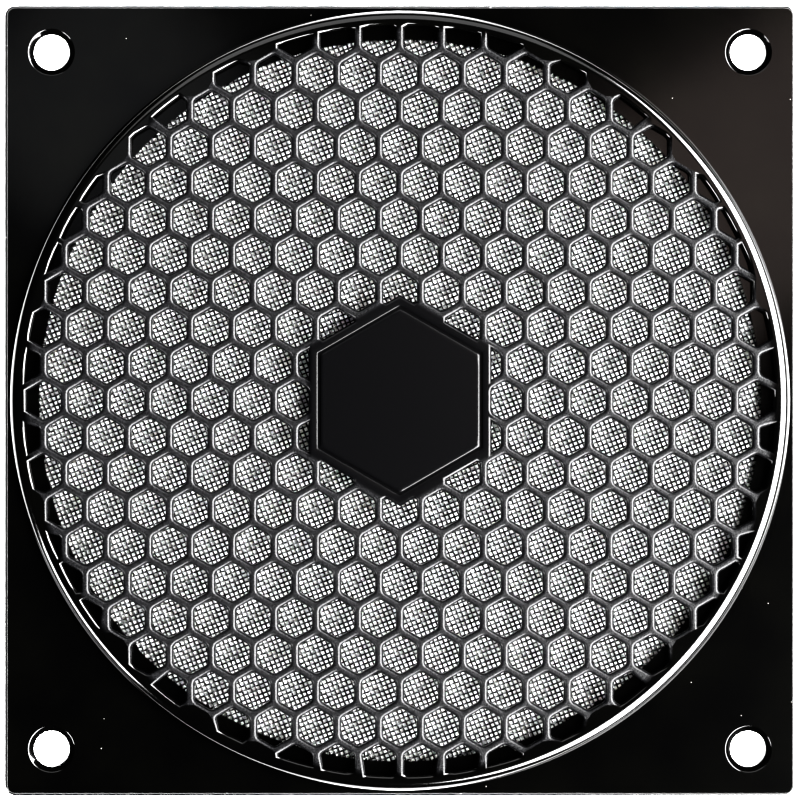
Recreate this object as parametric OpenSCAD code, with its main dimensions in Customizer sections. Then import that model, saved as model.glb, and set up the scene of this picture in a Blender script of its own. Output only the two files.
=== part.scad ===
// Square dust filter for a case fan.
// A one-piece moulded frame carries a raised round honeycomb grille with a plain hexagonal centre pad.
// A round woven mesh is bonded into a recess in the back of the frame.
// Millimetres. +Z points out of the grille, and z = 0 is the back face that seats on the fan.

/* [Plate] */
// Side of the square plate
plate_side = 119; // [114:0.5:126]
// Thickness of the plate
plate_thick = 2; // [1.8:0.1:3]
// Radius of the plate's four corners in plan
corner_r = 1.5; // [0.8:0.1:4]
// Radius of the plate's rounded front edge
edge_r = 0.4; // [0.2:0.05:0.6]

/* [Screw holes] */
// Distance of each hole's centre from the plate's two nearest sides
hole_inset = 7; // [6:0.25:8.5]
// Diameter of the screw holes
hole_d = 5.4; // [4.2:0.1:6]
// Radius of the round-over at the front of each hole
hole_round = 1.2; // [0.4:0.1:1.4]

/* [Raised ring] */
// Flat margin left between the plate's edge and the ring
ring_margin = 0.8; // [0.6:0.1:3]
// Height of the ring above the plate
ring_rise = 2; // [1.6:0.1:3]
// Width of the ring's wall, from its outside to the grille's opening
ring_wall = 2.3; // [2.1:0.1:4]
// Radius of the ring's outer shoulder
shoulder_r = 1.5; // [0.6:0.1:1.6]
// Bevel along the front edge of the opening
opening_bevel = 0.4; // [0.35:0.05:0.5]

/* [Honeycomb] */
// Distance between the centres of neighbouring cells
cell_pitch = 6.3; // [5.5:0.1:9]
// Width of the ribs between the cells
rib_w = 1.2; // [0.9:0.1:1.6]
// Bevel along the front edges of the ribs
rib_bevel = 0.3; // [0.25:0.05:0.35]
// Narrowest part-cell that is left open at the ring or the pad
least_open = 0.8; // [0.5:0.1:1.5]

/* [Centre pad] */
// Width of the hexagonal pad across its flats
pad_w = 27.5; // [20:0.5:36]
// Bevel along the front edges of the pad
pad_bevel = 0.2; // [0.1:0.05:0.25]
// Width of the panel inside the pad's groove, across its flats
panel_w = 23.8; // [12:0.2:24.4]
// Width of the groove around the panel
groove_w = 0.5; // [0.3:0.1:0.8]
// Depth of the groove around the panel
groove_deep = 0.4; // [0.2:0.1:0.8]

/* [Mesh] */
// Width of the ledge that the mesh is bonded to, inwards from the grille's opening
ledge_w = 2; // [1.5:0.1:3]
// Thickness of the ledge
ledge_thick = 0.8; // [0.5:0.1:1.2]
// Step from the front of the ledge up to the back of the ribs
rib_step = 1; // [0.2:0.1:1.4]
// Width of the bonded band, where the mesh lies on the ledge
bond_w = 1.4; // [0.8:0.1:2]
// Gap between the mesh's edge and the wall of its recess
mesh_gap = 0.2; // [0.1:0.05:0.4]
// Distance that the mesh lies inside the back face
mesh_inset = 0.35; // [0.1:0.05:0.5]
// Distance between the centres of neighbouring strands
strand_pitch = 1.85; // [1.85:0.05:4]
// Width of a strand
strand_w = 0.65; // [0.3:0.05:1]
// Thickness of each of the two layers of strands
strand_thick = 0.2; // [0.1:0.05:0.25]
// Gap between the two layers of strands
layer_gap = 0.05; // [0.02:0.01:0.1]
// Turn of the weave against the plate's sides
weave_turn = 21; // [0:1:45]

/* [Hidden] */
$fn = 96;
cut = 1; // how far a cutter runs past the face that it opens

hole_spacing = plate_side - 2 * hole_inset;
ring_r = plate_side / 2 - ring_margin;
opening_r = ring_r - ring_wall;
ledge_r = opening_r - ledge_w;
mesh_r = ledge_r + bond_w;
mesh_thick = 2 * strand_thick + layer_gap;
mesh_z = mesh_inset;
recess_r = mesh_r + mesh_gap;
recess_deep = mesh_inset + mesh_thick;
ledge_z = recess_deep + ledge_thick;
top_z = plate_thick + ring_rise;

// Lattice of the honeycomb: rows run along X, and every other row is half a pitch over.
cell_w = cell_pitch - rib_w;
row_pitch = cell_pitch * sqrt(3) / 2;
past_front = (rib_w / 2 - rib_bevel) / 2;
last_row = ceil(opening_r / row_pitch);
last_column = ceil(opening_r / cell_pitch);
cells = [
    for (row = [-last_row : last_row], column = [-last_column - 1 : last_column])
    let (x = (column + (row % 2 == 0 ? 0.5 : 0)) * cell_pitch, y = row * row_pitch)
    if (norm([x, y]) < opening_r + cell_w / 2 - least_open
        && hexagon_reach([x, y]) > (pad_w - cell_w) / 2 + least_open)
    [x, y]
];

// Distance of a point from the centre, measured square to the nearest flats of a centred hexagon.
function hexagon_reach(p) = max([for (turn = [0, 60, 120]) abs(p.x * cos(turn) + p.y * sin(turn))]);

// Hexagon with a flat on each side and a corner at the top.
module hexagon(width) {
    rotate(30) circle(r = width / sqrt(3), $fn = 6);
}

// Upright hexagonal column from the front of the ledge, or below it, to just past the grille's front.
// Over the depth of the bevel its sides lean outwards, or inwards where the bevel is negative.
module hexagon_column(width, bevel, below = 0) {
    base = width / 2;
    mouth = base + bevel + sign(bevel) * past_front;
    bevel_z = top_z - abs(bevel);
    intersection_for (turn = [0, 60, 120])
        rotate([90, 0, turn])
            linear_extrude(2 * width, center = true)
                polygon([
                    [-base, ledge_z - below], [base, ledge_z - below], [base, bevel_z],
                    [mouth, top_z + past_front], [-mouth, top_z + past_front], [-base, bevel_z]
                ]);
}

// Front edges of the plate: a strip with two rounded upper corners, run along Y.
module edge_rounded_strip() {
    rotate([90, 0, 0])
        linear_extrude(2 * plate_side, center = true) {
            translate([-plate_side / 2, 0]) square([plate_side, plate_thick - edge_r]);
            translate([edge_r - plate_side / 2, 0]) square([plate_side - 2 * edge_r, plate_thick]);
            for (side = [-1, 1])
                translate([side * (plate_side / 2 - edge_r), plate_thick - edge_r]) circle(r = edge_r);
        }
}

module plate() {
    inner = plate_side - 2 * corner_r;
    intersection() {
        linear_extrude(plate_thick) {
            square([inner, plate_side], center = true);
            square([plate_side, inner], center = true);
            for (x = [-1, 1], y = [-1, 1]) translate([x * inner / 2, y * inner / 2]) circle(r = corner_r);
        }
        edge_rounded_strip();
        rotate(90) edge_rounded_strip();
    }
}

// The raised drum, still solid, with its rounded outer shoulder.
module ring() {
    rotate_extrude() {
        square([ring_r - shoulder_r, top_z]);
        square([ring_r, top_z - shoulder_r]);
        translate([ring_r - shoulder_r, top_z - shoulder_r]) intersection() {
            circle(r = shoulder_r);
            square(shoulder_r);
        }
    }
}

// Space inside the ring that the cells at the rim are trimmed to, with the bevel at its front.
module opening() {
    rotate_extrude()
        polygon([
            [0, ledge_z - cut], [opening_r, ledge_z - cut], [opening_r, top_z - opening_bevel],
            [opening_r + opening_bevel + cut, top_z + cut], [0, top_z + cut]
        ]);
}

// Cutters for the cells, trimmed where they meet the ring or the pad.
module cell_cutters() {
    for (cell = cells)
        if (norm(cell) > opening_r - cell_w)
            intersection() {
                translate(cell) hexagon_column(cell_w, rib_bevel);
                opening();
            }
        else if (hexagon_reach(cell) < (pad_w + cell_w) / 2)
            difference() {
                translate(cell) hexagon_column(cell_w, rib_bevel);
                hexagon_column(pad_w, -pad_bevel, below = cut);
            }
        else
            translate(cell) hexagon_column(cell_w, rib_bevel);
}

// Cutter for one screw hole: a bore that opens into a rounded mouth.
module screw_hole() {
    hole_r = hole_d / 2;
    round_z = plate_thick - 0.95 * hole_round;
    rotate_extrude() {
        translate([0, -cut]) square([hole_r, plate_thick + cut]);
        translate([0, round_z]) difference() {
            square([hole_r + hole_round, hole_round + cut]);
            translate([hole_r + hole_round, 0]) circle(r = hole_round);
        }
    }
}

// Cutter for the groove that frames the plain panel on the pad.
module panel_groove() {
    translate([0, 0, top_z - groove_deep])
        linear_extrude(groove_deep + cut)
            difference() {
                hexagon(panel_w + 2 * groove_w);
                hexagon(panel_w);
            }
}

module grille_frame() {
    color("#17171a")
        difference() {
            union() {
                plate();
                ring();
            }
            translate([0, 0, -cut]) cylinder(r = recess_r, h = recess_deep + cut);
            translate([0, 0, -cut]) cylinder(r = ledge_r, h = ledge_z + rib_step + cut);
            cell_cutters();
            panel_groove();
            for (x = [-1, 1], y = [-1, 1])
                translate([x * hole_spacing / 2, y * hole_spacing / 2]) screw_hole();
        }
}

// Parallel openings between the strands of one layer, inside the bonded band.
module strand_openings() {
    last = ceil(ledge_r / strand_pitch);
    intersection() {
        circle(r = ledge_r);
        for (i = [-last : last])
            translate([(i - 0.5) * strand_pitch + strand_w / 2, -ledge_r])
                square([strand_pitch - strand_w, 2 * ledge_r]);
    }
}

module filter_mesh() {
    middle = strand_thick + layer_gap / 2;
    color("#2b2b2e")
        translate([0, 0, mesh_z])
            rotate(weave_turn)
                difference() {
                    cylinder(r = mesh_r, h = mesh_thick);
                    translate([0, 0, -cut]) linear_extrude(middle + cut) strand_openings();
                    translate([0, 0, strand_thick]) cylinder(r = ledge_r + bond_w / 4, h = layer_gap);
                    translate([0, 0, middle]) linear_extrude(middle + cut) rotate(90) strand_openings();
                }
}

grille_frame();
filter_mesh();
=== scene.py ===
"""Dresses the fan dust filter: its moulded honeycomb frame, its woven mesh and a plain studio.

Sizes are in millimetres while a piece is modelled, and the finished piece is scaled to metres.
"""

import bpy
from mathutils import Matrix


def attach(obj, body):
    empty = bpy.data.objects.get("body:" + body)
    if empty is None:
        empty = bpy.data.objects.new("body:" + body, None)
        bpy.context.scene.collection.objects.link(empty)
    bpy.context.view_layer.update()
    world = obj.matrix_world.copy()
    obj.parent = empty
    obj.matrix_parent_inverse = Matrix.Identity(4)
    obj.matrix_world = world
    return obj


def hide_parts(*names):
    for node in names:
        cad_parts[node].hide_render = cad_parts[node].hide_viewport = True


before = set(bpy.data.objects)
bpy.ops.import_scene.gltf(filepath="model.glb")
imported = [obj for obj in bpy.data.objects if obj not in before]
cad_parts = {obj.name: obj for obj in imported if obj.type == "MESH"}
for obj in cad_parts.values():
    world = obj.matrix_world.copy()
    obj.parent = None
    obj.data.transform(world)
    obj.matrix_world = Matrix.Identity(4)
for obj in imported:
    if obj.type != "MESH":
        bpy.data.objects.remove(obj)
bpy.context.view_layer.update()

import logging
import math
from dataclasses import dataclass
from enum import Enum, IntEnum

import bmesh
import bpy
from mathutils import Matrix, Vector
from mathutils.geometry import delaunay_2d_cdt

logging.basicConfig(level=logging.INFO, format="%(name)s: %(message)s")
log = logging.getLogger("fan_filter")

Mesh = bmesh.types.BMesh
Vert = bmesh.types.BMVert
Edge = bmesh.types.BMEdge
Face = bmesh.types.BMFace
Material = bpy.types.Material
Socket = bpy.types.NodeSocket
Span = tuple[float, float]
Colour = tuple[float, float, float, float]
Tone = Socket | Colour

MM = 0.001
ON_PLANE = 1e-5  # distance within which a corner counts as lying on a cut
LEVEL = 1e-3  # distance within which two heights or two corners count as the same

# Directions of a polygon's pairs of flats, in degrees
HEXAGON = (0, 60, 120)
SQUARE = (0, 90)

# Corners of a thread's square section, round to the first again
SECTION = ((-1, 1), (1, 1), (1, -1), (-1, -1), (-1, 1))


class Zone(IntEnum):
    """Material slots of the moulding."""

    GLOSS = 0
    GRAINED = 1


class Slot(IntEnum):
    """Material slots of the mesh."""

    THREAD = 0
    BOND = 1


class Thread(Enum):
    """The two sets of threads in the weave, by the turn of each against the other."""

    WARP = 0
    WEFT = 90


# Finishes


class Shader:
    """A material under construction, with short calls for the nodes that the finishes share."""

    def __init__(self, name: str) -> None:
        """Starts a material that holds a Principled shader and the part's Object coordinates.

        Args:
            name: Name of the material.
        """
        self.material: Material = bpy.data.materials.new(name)
        self.material.use_nodes = True
        self.tree: bpy.types.NodeTree = self.material.node_tree
        self.surface: bpy.types.Node = self.tree.nodes["Principled BSDF"]
        self.place: Socket = self.tree.nodes.new("ShaderNodeTexCoord").outputs["Object"]

    def set(self, **values: object) -> None:
        """Sets constant values on the shader's sockets, named with underscores for spaces."""
        for name, value in values.items():
            self.surface.inputs[name.replace("_", " ")].default_value = value

    def link(self, source: Socket, target: str) -> None:
        """Joins a socket to one of the Principled shader's inputs."""
        self.tree.links.new(source, self.surface.inputs[target])

    def noise(self, scale: float, detail: float = 2.0, roughness: float = 0.5) -> Socket:
        """Adds noise on Object coordinates.

        Args:
            scale: Number of features in a metre.
            detail: Number of octaves.
            roughness: Weight of the finer octaves.

        Returns:
            The noise's factor, from 0 to 1.
        """
        node = self.tree.nodes.new("ShaderNodeTexNoise")
        node.inputs["Scale"].default_value = scale
        node.inputs["Detail"].default_value = detail
        node.inputs["Roughness"].default_value = roughness
        self.tree.links.new(self.place, node.inputs["Vector"])
        return node.outputs["Fac"]

    def specks(self, scale: float, size: float, core: float = 0.6) -> Socket:
        """Adds sparse round specks on Object coordinates.

        Args:
            scale: Number of cells in a metre, each with a speck or none.
            size: Radius of a speck as a share of its cell.
            core: Share of that radius where the speck is at its fullest.

        Returns:
            A mask that is 1 on a speck.
        """
        cells = self.tree.nodes.new("ShaderNodeTexVoronoi")
        cells.inputs["Scale"].default_value = scale
        self.tree.links.new(self.place, cells.inputs["Vector"])
        return self.ramp(cells.outputs["Distance"], (size, size * core))

    def ramp(self, source: Socket, span: Span, to: Span = (0.0, 1.0)) -> Socket:
        """Maps a value from one span to another, with both ends held.

        Args:
            source: Value to map.
            span: Values that give the first and the last result.
            to: First and last result.

        Returns:
            The mapped value.
        """
        node = self.tree.nodes.new("ShaderNodeMapRange")
        node.inputs["From Min"].default_value, node.inputs["From Max"].default_value = span
        node.inputs["To Min"].default_value, node.inputs["To Max"].default_value = to
        self.tree.links.new(source, node.inputs["Value"])
        return node.outputs["Result"]

    def mix(self, mask: Socket, first: Tone, last: Tone) -> Socket:
        """Mixes two tones.

        Args:
            mask: Value that is 0 for the first tone and 1 for the last.
            first: Socket or constant of the first tone.
            last: Socket or constant of the last tone.

        Returns:
            The mixed tone.
        """
        node = self.tree.nodes.new("ShaderNodeMix")
        node.data_type = "RGBA"
        ends = [socket for socket in node.inputs if socket.type == "RGBA"]
        for socket, tone in zip(ends, (first, last)):
            if isinstance(tone, Socket):
                self.tree.links.new(tone, socket)
            else:
                socket.default_value = tone
        self.tree.links.new(mask, node.inputs["Factor"])
        return next(socket for socket in node.outputs if socket.type == "RGBA")

    def distance(self) -> Socket:
        """Adds the distance from the part's origin.

        Returns:
            The distance in metres.
        """
        node = self.tree.nodes.new("ShaderNodeVectorMath")
        node.operation = "LENGTH"
        self.tree.links.new(self.place, node.inputs[0])
        return node.outputs["Value"]

    def reach(self, flats: tuple[int, ...]) -> Socket:
        """Adds the distance from the part's axis, square to the nearest flats of a polygon.

        Args:
            flats: Directions of the polygon's pairs of flats, in degrees.

        Returns:
            The distance in metres.
        """
        furthest = None
        for turn in flats:
            angle = math.radians(turn)
            across = self.tree.nodes.new("ShaderNodeVectorMath")
            across.operation = "DOT_PRODUCT"
            across.inputs[1].default_value = (math.cos(angle), math.sin(angle), 0.0)
            self.tree.links.new(self.place, across.inputs[0])
            size = self.tree.nodes.new("ShaderNodeMath")
            size.operation = "ABSOLUTE"
            self.tree.links.new(across.outputs["Value"], size.inputs[0])
            most = self.tree.nodes.new("ShaderNodeMath")
            most.operation = "MAXIMUM"
            most.inputs[1].default_value = 0.0
            self.tree.links.new(size.outputs["Value"], most.inputs[0])
            if furthest:
                self.tree.links.new(furthest, most.inputs[1])
            furthest = most.outputs["Value"]
        return furthest

    def bump(self, height: Socket, depth: float, strength: float = 0.5) -> None:
        """Roughens the surface by a height.

        Args:
            height: Height from 0 to 1.
            depth: Depth in metres of the full height.
            strength: Share of the bump that shows.
        """
        node = self.tree.nodes.new("ShaderNodeBump")
        node.inputs["Distance"].default_value = depth
        node.inputs["Strength"].default_value = strength
        self.tree.links.new(height, node.inputs["Height"])
        self.link(node.outputs["Normal"], "Normal")


@dataclass(frozen=True)
class Specks:
    """Small pale specks, by their cells in a metre and their size as a share of a cell.

    They show everywhere, or beyond a centred square: fade gives the half sides over which they set in.
    """

    scale: float
    size: float
    tone: Colour
    fade: Span = (0.0, 0.0)


@dataclass(frozen=True)
class Smoother:
    """A smoother area of a finish: fade gives the distances over which one goes into the other."""

    fade: Span
    colour: Colour
    rough: float

    def span(self) -> Span:
        """Returns the fade in metres."""
        return self.fade[0] * MM, self.fade[1] * MM

    def tone(self) -> Colour:
        """Returns the roughness as a grey tone."""
        return self.rough, self.rough, self.rough, 1.0


@dataclass(frozen=True)
class MouldedPlastic:
    """Black moulded plastic, from polished to finely grained, with its wear."""

    name: str
    colour: Colour
    worn: Colour
    smooth: float
    rough: float
    grain_scale: float
    grain_depth: float
    patch_scale: float = 90.0
    worn_span: Span = (0.35, 0.7)
    grain_span: Span = (0.3, 0.7)
    faint_span: Span = (0.38, 0.62)
    ior: float = 1.5
    specular: float = 0.25
    dust: Specks | None = None
    chips: Specks | None = None
    satin_pad: Smoother | None = None
    gloss_rim: Smoother | None = None

    def specked(self, shader: Shader, colour: Socket) -> Socket:
        """Adds the dust and the chips along the plate's edges.

        Args:
            shader: Material under construction.
            colour: Colour of the plastic.

        Returns:
            The colour with its specks.
        """
        if self.dust:
            colour = shader.mix(shader.specks(self.dust.scale, self.dust.size), colour, self.dust.tone)
        if self.chips:
            start, full = self.chips.fade
            by_edge = shader.ramp(shader.reach(SQUARE), (start * MM, full * MM))
            chipped = shader.mix(shader.specks(self.chips.scale, self.chips.size), colour, self.chips.tone)
            colour = shader.mix(by_edge, colour, chipped)
        return colour

    def material(self) -> Material:
        """Makes the finish.

        Returns:
            Its material.
        """
        shader = Shader(self.name)
        shader.set(IOR=self.ior, Specular_IOR_Level=self.specular)
        patches = shader.noise(self.patch_scale, detail=4.0)
        grain = shader.noise(self.grain_scale, detail=3.0, roughness=0.6)
        colour = shader.mix(shader.ramp(patches, self.worn_span), self.colour, self.worn)
        colour = self.specked(shader, colour)
        roughness = shader.ramp(grain, self.grain_span, (self.smooth, self.rough))
        faint = shader.ramp(grain, (0.0, 1.0), self.faint_span)
        if self.satin_pad:
            off_pad = shader.ramp(shader.reach(HEXAGON), self.satin_pad.span())
            colour = shader.mix(off_pad, self.satin_pad.colour, colour)
            roughness = shader.mix(off_pad, self.satin_pad.tone(), roughness)
            grain = shader.mix(off_pad, faint, grain)
        if self.gloss_rim:
            at_rim = shader.ramp(shader.distance(), self.gloss_rim.span())
            colour = shader.mix(at_rim, colour, self.gloss_rim.colour)
            roughness = shader.mix(at_rim, roughness, self.gloss_rim.tone())
            grain = shader.mix(at_rim, grain, faint)
        shader.link(colour, "Base Color")
        shader.link(roughness, "Roughness")
        shader.bump(grain, self.grain_depth * MM)
        return shader.material


@dataclass(frozen=True)
class Monofilament:
    """Drawn nylon thread, black and glossy."""

    name: str
    colour: Colour
    worn: Colour
    rough: float
    specular: float
    rough_spread: float = 0.2
    streak_scale: float = 700.0
    streak_span: Span = (0.3, 0.7)
    rough_span: Span = (0.2, 0.8)
    ior: float = 1.53

    def material(self) -> Material:
        """Makes the finish.

        Returns:
            Its material.
        """
        shader = Shader(self.name)
        shader.set(IOR=self.ior, Specular_IOR_Level=self.specular)
        streaks = shader.noise(self.streak_scale)
        colour = shader.mix(shader.ramp(streaks, self.streak_span), self.colour, self.worn)
        limits = (self.rough * (1 - self.rough_spread), self.rough * (1 + self.rough_spread))
        shader.link(colour, "Base Color")
        shader.link(shader.ramp(streaks, self.rough_span, limits), "Roughness")
        return shader.material


@dataclass(frozen=True)
class Paper:
    """Plain white paper for the floor."""

    name: str
    colour: Colour
    rough: float = 0.9
    specular: float = 0.1

    def material(self) -> Material:
        """Makes the finish.

        Returns:
            Its material.
        """
        shader = Shader(self.name)
        shader.set(Base_Color=self.colour, Roughness=self.rough, Specular_IOR_Level=self.specular)
        return shader.material


# Mesh helpers


def edges_of(verts: list[Vert]) -> list[Edge]:
    """Finds the edges that join the given vertices.

    Args:
        verts: Vertices to look at.

    Returns:
        The edges with both ends among them.
    """
    inside = set(verts)
    found = dict.fromkeys(edge for vert in verts for edge in vert.link_edges)
    return [edge for edge in found if all(vert in inside for vert in edge.verts)]


def circle(bm: Mesh, radius: float, z: float, sides: int) -> list[Edge]:
    """Adds a centred circle of edges at a height, and returns its edges."""
    place = Matrix.Translation((0, 0, z))
    return edges_of(bmesh.ops.create_circle(bm, segments=sides, radius=radius, matrix=place)["verts"])


def polygon(bm: Mesh, sides: int, radius: float, place: Vector, turn: float = 0.0) -> Face:
    """Adds a flat regular polygon.

    Args:
        bm: Mesh to add to.
        sides: Number of sides.
        radius: Distance from its centre to its corners.
        place: Its centre.
        turn: Angle of its first corner from +Y, in degrees.

    Returns:
        The polygon's face.
    """
    matrix = Matrix.Translation(place) @ Matrix.Rotation(math.radians(turn), 4, "Z")
    made = bmesh.ops.create_circle(bm, cap_ends=True, segments=sides, radius=radius, matrix=matrix)
    return made["verts"][0].link_faces[0]


def loops_of(edges: list[Edge]) -> list[list[Vert]]:
    """Sorts edges into closed loops.

    Args:
        edges: Edges of one or more separate loops.

    Returns:
        The vertices of each loop in order, anticlockwise from above.
    """
    joined: dict[Vert, list[Vert]] = {}
    for one, other in (edge.verts for edge in edges):
        joined.setdefault(one, []).append(other)
        joined.setdefault(other, []).append(one)
    loops = []
    seen = set()
    for start in joined:
        if start in seen:
            continue
        loop = [start]
        seen.add(start)
        while onward := [vert for vert in joined[loop[-1]] if vert not in seen]:
            loop.append(onward[0])
            seen.add(onward[0])
        area = sum(one.co.xy.cross(other.co.xy) for one, other in zip(loop, loop[1:] + loop[:1]))
        loops.append(loop if area > 0 else loop[::-1])
    return loops


def fill(bm: Mesh, edges: list[Edge], slot: IntEnum) -> list[Face]:
    """Fills the level area between loops of edges, and leaves the holes among them open.

    Args:
        bm: Mesh that holds the loops.
        edges: Edges of the outer loop and of each hole.
        slot: Material slot of the new faces.

    Returns:
        The new faces.
    """
    loops = sorted(loops_of(edges), key=lambda loop: -max(vert.co.xy.length for vert in loop))
    verts = [vert for loop in loops for vert in loop]
    index = {vert: i for i, vert in enumerate(verts)}
    areas = [[index[vert] for vert in loop] for loop in loops]
    points = [vert.co.xy for vert in verts]
    _, _, triangles, sources, _, insides = delaunay_2d_cdt(points, [], areas, 1, ON_PLANE)
    faces = []
    for triangle, inside in zip(triangles, insides):
        if inside == [0]:
            face = bm.faces.new([verts[sources[corner][0]] for corner in triangle])
            face.material_index = slot
            faces.append(face)
    return faces


def carry(bm: Mesh, edges: list[Edge], steps: list[Span], slot: IntEnum) -> list[Edge]:
    """Carries a centred round loop along a profile.

    Args:
        bm: Mesh that holds the loop.
        edges: Edges of the loop.
        steps: Radius and height of each next loop.
        slot: Material slot of the new faces.

    Returns:
        Edges of the last loop.
    """
    for radius, z in steps:
        made = bmesh.ops.extrude_edge_only(bm, edges=edges)["geom"]
        verts = [item for item in made if isinstance(item, Vert)]
        for item in made:
            if isinstance(item, Face):
                item.material_index = slot
        old = verts[0].co
        ratio = radius / old.xy.length
        lift = z - old.z
        bmesh.ops.scale(bm, vec=(ratio, ratio, 1.0), verts=verts)
        bmesh.ops.translate(bm, vec=(0.0, 0.0, lift), verts=verts)
        edges = edges_of(verts)
    return edges


def sink(bm: Mesh, faces: list[Face], steps: list[Span], slot: IntEnum) -> None:
    """Sinks flat faces below their surroundings by a chain of insets.

    Args:
        bm: Mesh that holds the faces.
        faces: Faces to sink, each by itself.
        steps: Distance inwards and distance along the face's normal, for each inset.
        slot: Material slot of the new faces.
    """
    for inward, along in steps:
        made = bmesh.ops.inset_individual(
            bm, faces=faces, thickness=inward, depth=along, use_even_offset=True
        )
        for face in made["faces"]:
            face.material_index = slot


def open_up(bm: Mesh, faces: list[Face]) -> list[Edge]:
    """Removes faces.

    Args:
        bm: Mesh that holds the faces.
        faces: Faces to remove.

    Returns:
        The edges that bounded them.
    """
    edges = list(dict.fromkeys(edge for face in faces for edge in face.edges))
    bmesh.ops.delete(bm, geom=faces, context="FACES_ONLY")
    return edges


def quarter(inward: float, down: float, steps: int) -> list[Span]:
    """Works out the insets that round an edge over.

    Args:
        inward: Width of the round.
        down: Depth of the round.
        steps: Number of insets.

    Returns:
        Distance inwards and distance along the face's normal, for each inset.
    """
    turns = [math.pi / 2 * i / steps for i in range(steps + 1)]
    return [
        (inward * (math.sin(b) - math.sin(a)), -down * (math.cos(a) - math.cos(b)))
        for a, b in zip(turns, turns[1:])
    ]


def blunt(bm: Mesh, length: float, steps: int = 2, within: float = math.inf) -> None:
    """Rounds the corners of the only polygons in a mesh, where there is room.

    Args:
        bm: Mesh that holds flat polygons and nothing else.
        length: Distance from a corner to the start of its round.
        steps: Number of edges in each round.
        within: Distance from the part's middle beyond which corners stay sharp.
    """
    least_turn, most_turn = math.radians(85), math.radians(165)
    least_room = 2.1 * length
    corners = []
    for vert in bm.verts:
        loop = vert.link_loops[0]
        room = min(edge.calc_length() for edge in vert.link_edges)
        turned = loop.is_convex and least_turn < loop.calc_angle() < most_turn
        if turned and room > least_room and vert.co.xy.length < within:
            corners.append(vert)
    bmesh.ops.bevel(
        bm,
        geom=corners,
        offset=length,
        offset_type="OFFSET",
        affect="VERTICES",
        segments=steps,
        profile=0.5,
        material=-1,
        clamp_overlap=True,
    )


def add(bm: Mesh, part: Mesh) -> list[Face]:
    """Moves the faces of a scratch mesh into another.

    Args:
        bm: Mesh to add to.
        part: Scratch mesh; it is freed.

    Returns:
        The faces in their new place.
    """
    mesh = bpy.data.meshes.new("scratch")
    part.to_mesh(mesh)
    part.free()
    bm.from_mesh(mesh)
    bm.faces.ensure_lookup_table()
    faces = bm.faces[-len(mesh.polygons):]
    bpy.data.meshes.remove(mesh)
    return faces


def piece(bm: Mesh, name: str, materials: list[Material]) -> bpy.types.Object:
    """Makes an object of a finished mesh, at the origin and with smooth faces.

    Args:
        bm: Finished mesh, in millimetres; it is freed.
        name: Name of the piece.
        materials: Materials in the order of their slots.

    Returns:
        The new object, which rides on the part's only body.
    """
    bmesh.ops.scale(bm, vec=(MM, MM, MM), verts=bm.verts[:])
    for face in bm.faces:
        face.smooth = True
    mesh = bpy.data.meshes.new(name)
    bm.to_mesh(mesh)
    bm.free()
    for material in materials:
        mesh.materials.append(material)
    obj = bpy.data.objects.new(name, mesh)
    bpy.context.scene.collection.objects.link(obj)
    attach(obj, "root")
    return obj


# The part


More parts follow.
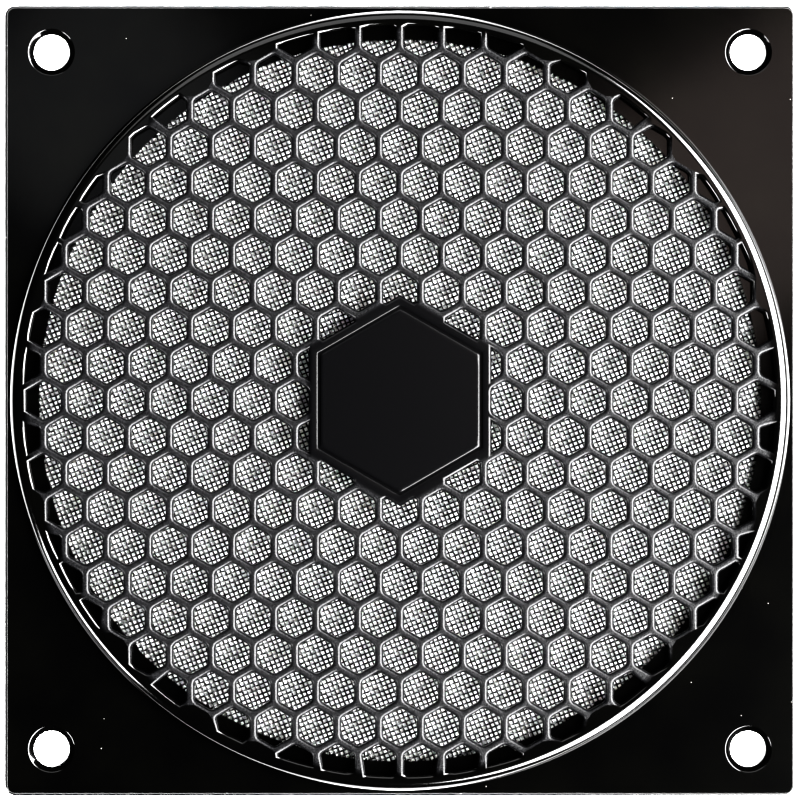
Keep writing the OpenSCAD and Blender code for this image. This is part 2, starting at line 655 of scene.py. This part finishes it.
@dataclass
class GrilleFrame:
    """The one-piece moulding: plate, raised ring, honeycomb, pad and the ledge behind."""

    # Plate
    plate_side: float = 119
    plate_thick: float = 2
    corner_r: float = 1.5
    corner_steps: int = 6
    edge_r: float = 0.4
    edge_steps: int = 4
    edge_border: float = 0.3

    # Screw holes, each with a narrow rounded rim and a sloping mouth
    hole_spacing: float = 105
    hole_r: float = 2.7
    hole_sides: int = 48
    hole_border: float = 0.25
    mouth_w: float = 0.825
    mouth_rim: tuple[Span, ...] = ((0.06, -0.02), (0.06, -0.04))
    mouth_slope: float = 43
    rim_slack: float = 0.02

    # Ring
    ring_r: float = 58.7
    top_z: float = 4
    shoulder_r: float = 1.5
    shoulder_turn: int = 10
    opening_r: float = 56.4
    opening_land: float = 0.12
    sides: int = 192

    # Honeycomb
    pitch: float = 6.3
    cell_w: float = 5.1
    cell_corner: float = 0.5
    least_open: float = 0.8
    lip: float = 0.5
    lip_deep: float = 0.5
    lip_hold: float = 0.03
    lip_steps: int = 5
    draft: float = 0.02
    rib_back: float = 2.6
    rim_cuts: int = 4
    rim_merge: float = 0.9
    pad_merge: float = 0.6
    gloss_margin: float = 0.06

    # Centre pad, with a groove whose edges are eased
    pad_w: float = 27.5
    pad_clear: float = 0.3
    pad_cuts: int = 11
    panel_w: float = 23.8
    panel_border: float = 0.3
    groove_w: float = 0.5
    groove_deep: float = 0.4
    groove_wall: float = 0.05
    ease_w: float = 0.14
    ease_deep: float = 0.05

    # Back
    ledge_r: float = 54.4
    ledge_z: float = 1.6
    recess_r: float = 56
    recess_deep: float = 0.8

    # Turn past which an edge looks sharp, in degrees
    crease: float = 40

    def reach(self, point: Vector) -> float:
        """Returns how far a point is from the centre, square to the nearest flats of a hexagon."""
        turns = [math.radians(turn) for turn in HEXAGON]
        return max(abs(point.x * math.cos(turn) + point.y * math.sin(turn)) for turn in turns)

    def centres(self) -> list[Vector]:
        """Lays out the honeycomb.

        Returns:
            The centres of the cells that are open, on the front of the grille.
        """
        row_pitch = self.pitch * math.sqrt(3) / 2
        last = math.ceil(self.opening_r / row_pitch) + 1
        found = []
        for row in range(-last, last + 1):
            for column in range(-last, last + 1):
                x = (column + (0.5 if row % 2 == 0 else 0.0)) * self.pitch
                centre = Vector((x, row * row_pitch, self.top_z))
                in_ring = centre.xy.length < self.opening_r + self.cell_w / 2 - self.least_open
                off_pad = self.reach(centre) > (self.pad_w - self.cell_w) / 2 + self.least_open
                if in_ring and off_pad:
                    found.append(centre)
        return found

    def mouth(self, bm: Mesh, centre: Vector) -> None:
        """Adds the sharp-cornered mouth of a cell."""
        polygon(bm, 6, (self.cell_w / 2 + self.lip) * 2 / math.sqrt(3), centre)

    def trim_to_ring(self, bm: Mesh, centre: Vector) -> None:
        """Trims the only polygon in a mesh to the ring's opening.

        Args:
            bm: Mesh that holds the mouth of one cell.
            centre: Centre of the cell.
        """
        step = 2 * math.pi / self.sides
        middle = round(math.atan2(centre.y, centre.x) / step)
        for i in range(middle - self.rim_cuts, middle + self.rim_cuts + 1):
            outwards = Vector((math.cos(i * step), math.sin(i * step), 0.0))
            bmesh.ops.bisect_plane(
                bm,
                geom=[*bm.verts, *bm.edges, *bm.faces],
                dist=ON_PLANE,
                plane_co=outwards * (self.opening_r + self.lip),
                plane_no=outwards,
                clear_outer=True,
            )
        bmesh.ops.remove_doubles(bm, verts=bm.verts[:], dist=self.rim_merge)

    def trim_to_pad(self, bm: Mesh, centre: Vector) -> None:
        """Trims the only polygon in a mesh to the outside of the pad's nearest side, or two at a corner.

        Args:
            bm: Mesh that holds the mouth of one cell.
            centre: Centre of the cell.
        """
        half = self.pad_w / 2 - self.lip
        near = self.reach(centre) - 0.5
        turns = [math.radians(turn) for turn in range(0, 360, 60)]
        sides = [Vector((math.cos(turn), math.sin(turn), 0.0)) for turn in turns]
        facing = [side for side in sides if side.dot(centre) > near]
        for side in facing:
            bmesh.ops.bisect_plane(
                bm,
                geom=[*bm.verts, *bm.edges, *bm.faces],
                dist=ON_PLANE,
                plane_co=side * half,
                plane_no=side,
            )
        middles = {face: face.calc_center_median() for face in bm.faces}
        covered = [face for face in bm.faces if all(side.dot(middles[face]) < half for side in facing)]
        bmesh.ops.delete(bm, geom=covered, context="FACES")
        bmesh.ops.dissolve_limit(bm, angle_limit=math.radians(1), verts=bm.verts[:], edges=bm.edges[:])
        bmesh.ops.remove_doubles(bm, verts=bm.verts[:], dist=self.pad_merge)

    def mouths(self, bm: Mesh) -> None:
        """Adds the mouths of all the cells, with blunted corners.

        Args:
            bm: Empty mesh to build in.
        """
        whole = bmesh.new()
        length = (self.cell_corner + self.lip) * math.tan(math.radians(30))
        for centre in self.centres():
            by_pad = self.reach(centre) < (self.pad_w + self.cell_w) / 2
            if centre.xy.length < self.opening_r - self.cell_w and not by_pad:
                self.mouth(whole, centre)
                continue
            part = bmesh.new()
            self.mouth(part, centre)
            if by_pad:
                self.trim_to_pad(part, centre)
            else:
                self.trim_to_ring(part, centre)
            blunt(part, length, within=self.opening_r)
            add(bm, part)
        blunt(whole, length)
        add(bm, whole)

    @property
    def pad_flat(self) -> float:
        """Width of the pad's flat top across its flats."""
        return self.pad_w - 2 * self.lip - self.pad_clear

    def pad(self, bm: Mesh) -> Face:
        """Adds the flat top of the pad, inside its rounded edge.

        Args:
            bm: Mesh that holds the mouths of the cells.

        Returns:
            The pad's face.
        """
        part = bmesh.new()
        polygon(part, 6, self.pad_flat / math.sqrt(3), Vector((0.0, 0.0, self.top_z)))
        bmesh.ops.subdivide_edges(part, edges=part.edges[:], cuts=self.pad_cuts)
        return add(bm, part)[0]

    def groove_steps(self) -> list[Span]:
        """Works out the insets from the pad's edge, through the groove, to the panel.

        Returns:
            Distance inwards and distance along the face's normal, for each inset.
        """
        border = (self.pad_flat - self.panel_w) / 2 - self.groove_w
        floor = self.groove_w - 2 * self.groove_wall
        down = self.groove_deep - self.ease_deep
        return [
            (border - self.ease_w, 0.0),
            (self.ease_w, -self.ease_deep),
            (self.groove_wall, -down),
            (floor, 0.0),
            (self.groove_wall, down),
            (self.ease_w, self.ease_deep),
            (self.panel_border, 0.0),
        ]

    def grille(self, bm: Mesh) -> tuple[list[Edge], list[Edge]]:
        """Builds the ribs and the pad.

        Args:
            bm: Empty mesh to build in.

        Returns:
            The round edge of the grille's front, and the edges of the cells at its back.
        """
        self.mouths(bm)
        pad = self.pad(bm)
        cells = [face for face in bm.faces if face != pad]
        rim = circle(bm, self.opening_r + self.lip + self.opening_land, self.top_z, self.sides)
        ring_verts = {vert for edge in rim for vert in edge.verts}
        for face in fill(bm, bm.edges[:], Zone.GRAINED):
            if any(vert in ring_verts for vert in face.verts):
                face.material_index = Zone.GLOSS
        for face in cells:
            face.normal_update()
        sink(bm, [pad], self.groove_steps(), Zone.GRAINED)
        pad.material_index = Zone.GRAINED
        lips = [(self.lip_hold, 0.0), *quarter(self.lip - self.lip_hold, self.lip_deep, self.lip_steps)]
        wall = (self.draft, self.rib_back - self.top_z + self.lip_deep)
        sink(bm, cells, [*lips, wall], Zone.GRAINED)
        for face in bm.faces:
            if face.calc_center_median().xy.length > self.opening_r - self.gloss_margin:
                face.material_index = Zone.GLOSS
        return rim, open_up(bm, cells)

    def ring(self, bm: Mesh, rim: list[Edge]) -> list[Edge]:
        """Carries the grille's round edge out over the ring's shoulder.

        Args:
            bm: Mesh that holds the grille.
            rim: Round edge of the grille's front.

        Returns:
            The ring's foot on the plate.
        """
        inner = self.ring_r - self.shoulder_r
        middle = self.top_z - self.shoulder_r
        turns = [math.radians(turn) for turn in range(0, 91, self.shoulder_turn)]
        shoulder = [
            (inner + self.shoulder_r * math.sin(turn), middle + self.shoulder_r * math.cos(turn))
            for turn in turns
        ]
        return carry(bm, rim, [*shoulder, (self.ring_r, self.plate_thick)], Zone.GLOSS)

    def mouth_steps(self) -> list[Span]:
        """Works out the insets from a screw hole's border, down its sloping mouth, to the back.

        Returns:
            Distance inwards and distance along the face's normal, for each inset.
        """
        slope = self.mouth_w - sum(inward for inward, _ in self.mouth_rim)
        fall = slope * math.tan(math.radians(self.mouth_slope))
        steps = [(self.hole_border, 0.0), *self.mouth_rim, (slope, -fall)]
        return [*steps, (0.0, -self.plate_thick - sum(along for _, along in steps))]

    def plate(self, bm: Mesh, foot: list[Edge]) -> list[Edge]:
        """Builds the plate round the ring's foot.

        Args:
            bm: Mesh that holds the grille and the ring.
            foot: Round edge of the ring on the plate.

        Returns:
            Round edge of the recess in the plate's back.
        """
        part = bmesh.new()
        side_z = self.plate_thick - self.edge_r
        polygon(part, 4, self.plate_side / math.sqrt(2), Vector((0.0, 0.0, side_z)), turn=45.0)
        blunt(part, self.corner_r, steps=self.corner_steps)
        top = add(bm, part)
        edge_round = reversed(quarter(self.edge_r, self.edge_r, self.edge_steps))
        rounds = [(-down, inward) for inward, down in edge_round]
        sink(bm, top, [*rounds, (self.edge_border, 0.0)], Zone.GLOSS)
        outline = [
            edge
            for edge in bm.edges
            if edge.is_boundary and all(abs(vert.co.z - side_z) < LEVEL for vert in edge.verts)
        ]
        half = self.hole_spacing / 2
        mouth_r = self.hole_r + sum(inward for inward, _ in self.mouth_steps())
        mouths = [
            polygon(bm, self.hole_sides, mouth_r, Vector((x * half, y * half, self.plate_thick)))
            for x in (-1, 1)
            for y in (-1, 1)
        ]
        mouth_edges = [edge for face in mouths for edge in face.edges]
        fill(bm, [*open_up(bm, top), *foot, *mouth_edges], Zone.GLOSS)
        sink(bm, mouths, self.mouth_steps(), Zone.GLOSS)
        hole_edges = open_up(bm, mouths)
        made = bmesh.ops.extrude_edge_only(bm, edges=outline)["geom"]
        verts = [item for item in made if isinstance(item, Vert)]
        bmesh.ops.translate(bm, vec=(0.0, 0.0, -side_z), verts=verts)
        recess = circle(bm, self.recess_r, 0.0, self.sides)
        fill(bm, [*edges_of(verts), *hole_edges, *recess], Zone.GLOSS)
        return recess

    def back(self, bm: Mesh, recess: list[Edge], cells: list[Edge]) -> None:
        """Closes the back, from the recess over the ledge to the back of the ribs.

        Args:
            bm: Mesh that holds the grille, the ring and the plate.
            recess: Round edge of the recess in the plate's back.
            cells: Edges of the cells at the back of the ribs.
        """
        wall_r = self.opening_r + self.opening_land
        steps = [
            (self.recess_r, self.recess_deep),
            (self.ledge_r, self.recess_deep),
            (self.ledge_r, self.ledge_z),
            (wall_r, self.ledge_z),
            (wall_r, self.rib_back),
        ]
        fill(bm, [*carry(bm, recess, steps, Zone.GLOSS), *cells], Zone.GRAINED)

    def at_hole_mouth(self, edge: Edge) -> bool:
        """Tells whether an edge lies on the crisp rim of a screw hole.

        Args:
            edge: Edge to look at.

        Returns:
            True on the rim.
        """
        rim_r = self.hole_r + self.mouth_w
        half = self.hole_spacing / 2
        corners = [Vector((abs(vert.co.x) - half, abs(vert.co.y) - half)) for vert in edge.verts]
        level = all(abs(vert.co.z - self.plate_thick) < LEVEL for vert in edge.verts)
        return level and all(abs(corner.length - rim_r) < self.rim_slack for corner in corners)

    def build(self) -> bpy.types.Object:
        """Builds the moulding.

        Returns:
            Its piece.
        """
        bm = bmesh.new()
        rim, cells = self.grille(bm)
        foot = self.ring(bm, rim)
        recess = self.plate(bm, foot)
        self.back(bm, recess, cells)
        bmesh.ops.recalc_face_normals(bm, faces=bm.faces[:])
        crease = math.radians(self.crease)
        for edge in bm.edges:
            edge.smooth = edge.calc_face_angle() < crease and not self.at_hole_mouth(edge)
        obj = piece(bm, "moulded_frame", self.finishes())
        weighted = obj.modifiers.new("flat faces stay flat", "WEIGHTED_NORMAL")
        weighted.keep_sharp = True
        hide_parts("grille_frame")
        return obj

    def finishes(self) -> list[Material]:
        """Makes the moulding's materials.

        Returns:
            The materials in the order of its zones.
        """
        half_side, half_pad = self.plate_side / 2, self.pad_w / 2
        gloss = MouldedPlastic(
            name="gloss_black_plastic",
            colour=(0.0004, 0.0004, 0.0004, 1.0),
            worn=(0.0007, 0.0007, 0.0006, 1.0),
            smooth=0.07,
            rough=0.11,
            grain_scale=5000,
            grain_depth=0.002,
            specular=0.3,
            dust=Specks(scale=300, size=0.028, tone=(0.1, 0.098, 0.092, 1.0)),
            chips=Specks(
                scale=400,
                size=0.07,
                tone=(0.1, 0.1, 0.1, 1.0),
                fade=(half_side - 0.5, half_side - 0.3),
            ),
        )
        grained = MouldedPlastic(
            name="grained_black_plastic",
            colour=(0.001, 0.001, 0.0011, 1.0),
            worn=(0.0034, 0.0034, 0.0037, 1.0),
            smooth=0.22,
            rough=0.36,
            grain_scale=4500,
            grain_depth=0.05,
            patch_scale=2600,
            specular=0.15,
            satin_pad=Smoother(
                fade=(half_pad - 0.1, half_pad + 0.5), colour=(0.0009, 0.0009, 0.001, 1.0), rough=0.19
            ),
            gloss_rim=Smoother(
                fade=(self.opening_r - 0.8, self.opening_r + 0.2),
                colour=(0.0005, 0.0005, 0.0005, 1.0),
                rough=0.1,
            ),
        )
        return [gloss.material(), grained.material()]


@dataclass
class WovenMesh:
    """The round plain-woven screen behind the grille, with its bonded edge."""

    radius: float = 55.8
    band_inner: float = 54.5
    band_low: float = 0.35
    band_high: float = 0.8
    band_soft: float = 0.1
    band_sides: int = 192
    middle_z: float = 0.575
    swing: float = 0.1
    drift: float = 0.035
    drift_waves: tuple[float, float, float] = (2.4, 0.11, 1.7)
    thread_w: float = 0.27
    thread_thick: float = 0.2
    pitch: float = 0.69
    turn: float = 21.0

    def stray(self, along: int, row: int) -> float:
        """Works out how far a thread lies off its line at a crossing.

        Args:
            along: Number of the crossing along the thread.
            row: Number of the thread.

        Returns:
            The distance sideways.
        """
        apart, slow, shift = self.drift_waves
        return self.drift * (math.sin(apart * row) + math.sin(slow * along + shift * row)) / 2

    def threads(self, thread: Thread) -> Mesh:
        """Weaves one set of threads.

        Each thread is a square tube, rolled up from a strip of a grid.
        It rises and falls at each crossing.

        Args:
            thread: The set to weave.

        Returns:
            The threads, cut to the round of the mesh.
        """
        count = math.floor(self.radius / self.pitch)
        across = 2 * count + 1
        lines = len(SECTION) * across
        end = (self.radius + self.band_inner) / 2
        start = 0 if thread is Thread.WARP else 1
        bm = bmesh.new()
        made = bmesh.ops.create_grid(bm, x_segments=across - 1, y_segments=lines - 1, size=1.0)
        outside = []
        for vert in made["verts"]:
            along = round((vert.co.x + 1) / 2 * (across - 1))
            row, corner = divmod(round((vert.co.y + 1) / 2 * (lines - 1)), len(SECTION))
            side, rise = SECTION[corner]
            over = 1 if (along + row + start) % 2 == 0 else -1
            place = Vector(((along - count) * self.pitch, (row - count) * self.pitch, self.middle_z))
            if place.xy.length > end:
                outside.append(vert)
            sideways = self.stray(along, row) + side * self.thread_w / 2
            lift = over * self.swing + rise * self.thread_thick / 2
            vert.co = place + Vector((0.0, sideways, lift))
        self.part_threads(bm, outside)
        turn = Matrix.Rotation(math.radians(self.turn + thread.value), 4, "Z")
        bmesh.ops.transform(bm, matrix=turn, verts=bm.verts[:])
        return bm

    def part_threads(self, bm: Mesh, outside: list[Vert]) -> None:
        """Parts the rolled-up grid into closed threads.

        Args:
            bm: Grid with its strips rolled up.
            outside: Vertices past the edge of the mesh.
        """
        widest = self.thread_w * 1.2
        webs = []
        for face in bm.faces:
            places = [vert.co.y for vert in face.verts]
            if max(places) - min(places) > widest:
                webs.append(face)
        bmesh.ops.delete(bm, geom=webs, context="FACES")
        bmesh.ops.delete(bm, geom=outside, context="VERTS")
        bmesh.ops.remove_doubles(bm, verts=bm.verts[:], dist=LEVEL)
        ends = [edge for edge in bm.edges if edge.is_boundary]
        bmesh.ops.holes_fill(bm, edges=ends, sides=4)
        bmesh.ops.recalc_face_normals(bm, faces=bm.faces[:])
        for edge in bm.edges:
            one, other = edge.verts
            edge.smooth = abs(one.co.x - other.co.x) > self.pitch / 2

    def band(self, bm: Mesh) -> None:
        """Adds the fused band along the mesh's edge, with its corners taken off.

        Args:
            bm: Mesh that holds the threads.
        """
        soft = self.band_soft
        section = [
            (self.radius, self.band_high - soft),
            (self.radius - soft, self.band_high),
            (self.band_inner + soft, self.band_high),
            (self.band_inner, self.band_high - soft),
            (self.band_inner, self.band_low + soft),
            (self.band_inner + soft, self.band_low),
            (self.radius - soft, self.band_low),
        ]
        first = circle(bm, self.radius, self.band_low + soft, self.band_sides)
        last = carry(bm, first, section, Slot.BOND)
        bmesh.ops.bridge_loops(bm, edges=[*first, *last])

    def finishes(self) -> list[Material]:
        """Makes the mesh's materials.

        Returns:
            The materials in the order of its slots.
        """
        nylon = Monofilament(
            name="black_nylon_thread",
            colour=(0.0008, 0.0008, 0.0009, 1.0),
            worn=(0.0015, 0.0015, 0.0016, 1.0),
            rough=0.14,
            specular=0.24,
        )
        bond = MouldedPlastic(
            name="bonded_black_edge",
            colour=(0.002, 0.002, 0.002, 1.0),
            worn=(0.004, 0.004, 0.004, 1.0),
            smooth=0.3,
            rough=0.5,
            grain_scale=2500,
            grain_depth=0.01,
        )
        return [nylon.material(), bond.material()]

    def build(self) -> list[bpy.types.Object]:
        """Weaves the mesh.

        Returns:
            The pieces of its two sets of threads, the first with the bonded edge.
        """
        materials = self.finishes()
        warp = self.threads(Thread.WARP)
        self.band(warp)
        warp_piece = piece(warp, "mesh_warp", materials)
        weft_piece = piece(self.threads(Thread.WEFT), "mesh_weft", materials[:1])
        for obj in (warp_piece, weft_piece):
            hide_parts("filter_mesh")
        return [warp_piece, weft_piece]


# The studio


@dataclass(frozen=True)
class Panel:
    """A soft light, placed by its direction from the part in degrees, with its sizes in metres."""

    name: str
    azimuth: float
    polar: float
    width: float
    height: float
    radiance: float
    distance: float = 0.8
    colour: tuple[float, float, float] = (1.0, 1.0, 1.0)


@dataclass
class Studio:
    """A white floor, soft lights round the part and a camera straight above, in metres."""

    floor_side: float = 3.0
    camera_height: float = 0.6
    camera_shift: float = 0.0001
    view_width: float = 0.1205
    view_plane: float = 0.002
    view_end: float = 20.0
    sensor: float = 36.0
    room_light: float = 0.03
    panels: tuple[Panel, ...] = (
        Panel("right_softbox", azimuth=-14, polar=42, width=1.55, height=0.75, radiance=52),
        Panel("far_card", azimuth=95, polar=42, width=0.7, height=0.6, radiance=4),
        Panel("left_strip", azimuth=214, polar=56, width=0.3, height=0.3, radiance=42),
        Panel(
            "cool_card",
            azimuth=135,
            polar=10.5,
            width=0.09,
            height=0.09,
            radiance=0.85,
            distance=0.81,
            colour=(0.94, 0.96, 1.0),
        ),
        Panel(
            "warm_card",
            azimuth=32,
            polar=9.6,
            width=0.09,
            height=0.15,
            radiance=2,
            distance=0.81,
            colour=(1.0, 0.84, 0.78),
        ),
    )

    def floor(self) -> None:
        """Lays the floor under the part."""
        bm = bmesh.new()
        bmesh.ops.create_grid(bm, x_segments=2, y_segments=2, size=self.floor_side / 2)
        mesh = bpy.data.meshes.new("floor")
        bm.to_mesh(mesh)
        bm.free()
        mesh.materials.append(Paper("white_paper", (0.9, 0.9, 0.9, 1.0)).material())
        obj = bpy.data.objects.new("floor", mesh)
        bpy.context.scene.collection.objects.link(obj)

    def light(self, panel: Panel) -> None:
        """Hangs a soft light that faces the part.

        Args:
            panel: The light's place, size and strength.
        """
        azimuth, polar = math.radians(panel.azimuth), math.radians(panel.polar)
        level = math.sin(polar)
        away = Vector((level * math.cos(azimuth), level * math.sin(azimuth), math.cos(polar)))
        lamp = bpy.data.lights.new(panel.name, "AREA")
        lamp.shape = "RECTANGLE"
        lamp.size = panel.width
        lamp.size_y = panel.height
        lamp.energy = panel.radiance * math.pi * panel.width * panel.height
        lamp.color = panel.colour
        obj = bpy.data.objects.new(panel.name, lamp)
        obj.location = away * panel.distance
        obj.rotation_euler = (-away).to_track_quat("-Z", "Y").to_euler()
        bpy.context.scene.collection.objects.link(obj)

    def camera(self) -> None:
        """Hangs the camera over the part's centre, with the picture's top towards +Y."""
        lens = bpy.data.cameras.new("camera")
        lens.sensor_width = self.sensor
        lens.lens = lens.sensor_width * (self.camera_height - self.view_plane) / self.view_width
        lens.clip_end = self.view_end
        obj = bpy.data.objects.new("camera", lens)
        obj.location = (0.0, self.camera_shift, self.camera_height)
        bpy.context.scene.collection.objects.link(obj)
        bpy.context.scene.camera = obj

    def build(self) -> None:
        """Sets up the room, the floor, the lights and the camera."""
        scene = bpy.context.scene
        world = bpy.data.worlds.new("room")
        world.use_nodes = True
        background = world.node_tree.nodes["Background"]
        background.inputs["Color"].default_value = (1.0, 1.0, 1.0, 1.0)
        background.inputs["Strength"].default_value = self.room_light
        scene.world = world
        scene.view_settings.view_transform = "Standard"
        scene.view_settings.look = "Very High Contrast"
        self.floor()
        for panel in self.panels:
            self.light(panel)
        self.camera()


def main() -> None:
    """Builds the part and its studio."""
    pieces = [GrilleFrame().build(), *WovenMesh().build()]
    Studio().build()
    for obj in pieces:
        log.info("%s: %d faces", obj.name, len(obj.data.polygons))


if __name__ == "__main__":
    main()
